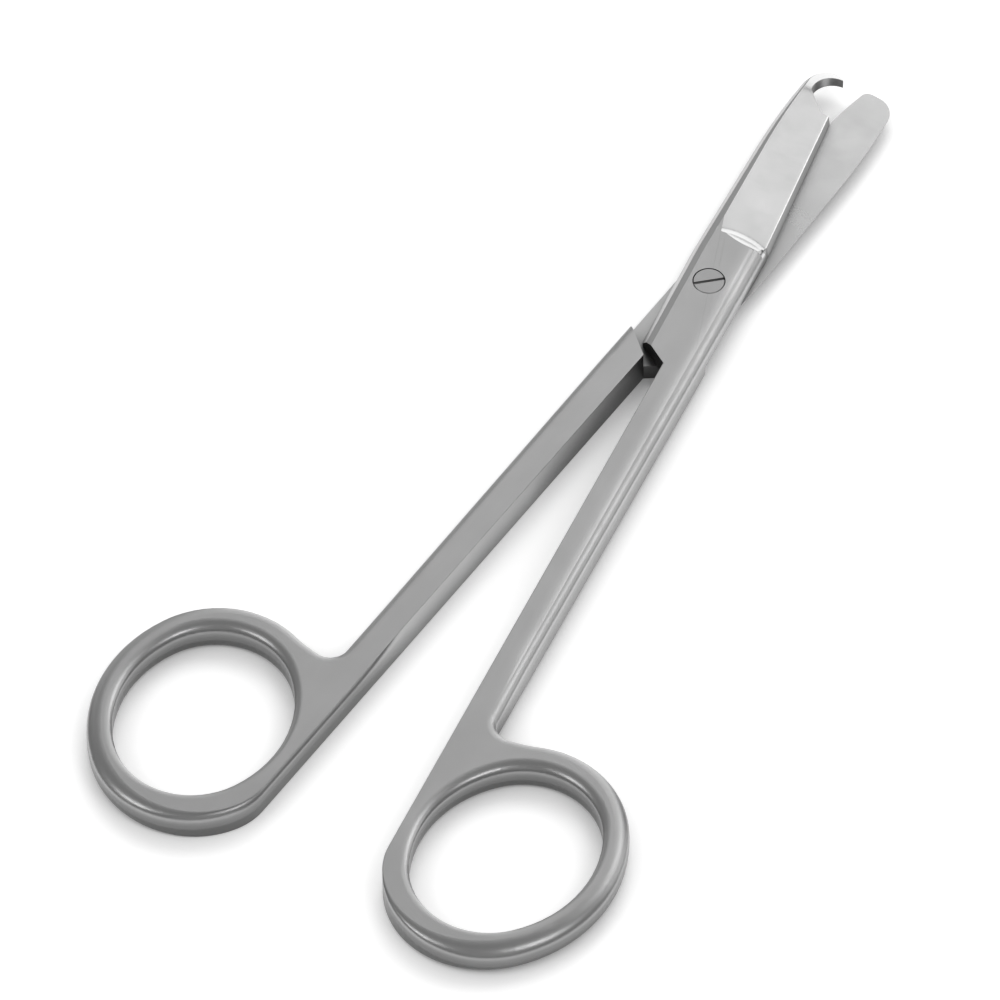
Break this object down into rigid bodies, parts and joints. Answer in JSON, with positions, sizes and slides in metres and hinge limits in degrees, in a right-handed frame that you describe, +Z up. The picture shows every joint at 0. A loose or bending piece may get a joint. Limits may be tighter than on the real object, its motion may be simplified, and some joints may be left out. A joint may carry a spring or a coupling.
{
  "type": "suture scissors",
  "caption": "Hand scissors for cutting stitches: two slim pivoted halves with finger rings, one blade tip cut into a small crescent hook, the other tip plain and blunt.",
  "frame": {"origin": "on the pivot axis, level with the flat underside that the scissors lie on", "axes": "+Y forward to the tips along the line midway between the halves, +X to the side of the hooked half's finger ring, +Z up along the pivot axis"},
  "size_m": [0.0674, 0.139, 0.0047],
  "materials": {
    "hook_half_steel": "satin stainless steel with a polished ground blade",
    "plain_half_steel": "satin stainless steel with a polished ground blade",
    "screw_steel": "fine ground stainless steel, slotted head"
  },
  "bodies": {
    "plain_half": {"plain_blade_half": "plain_half_steel", "pivot_screw": "screw_steel"},
    "hook_half": {"hook_blade_half": "hook_half_steel"}
  },
  "joints": [
    {"name": "blade_pivot", "type": "hinge", "parent": "plain_half", "child": "hook_half", "pos_m": [0, 0, 0.00235], "axis": [0, 0, 1], "range_deg": [-10.3, 120]}
  ]
}
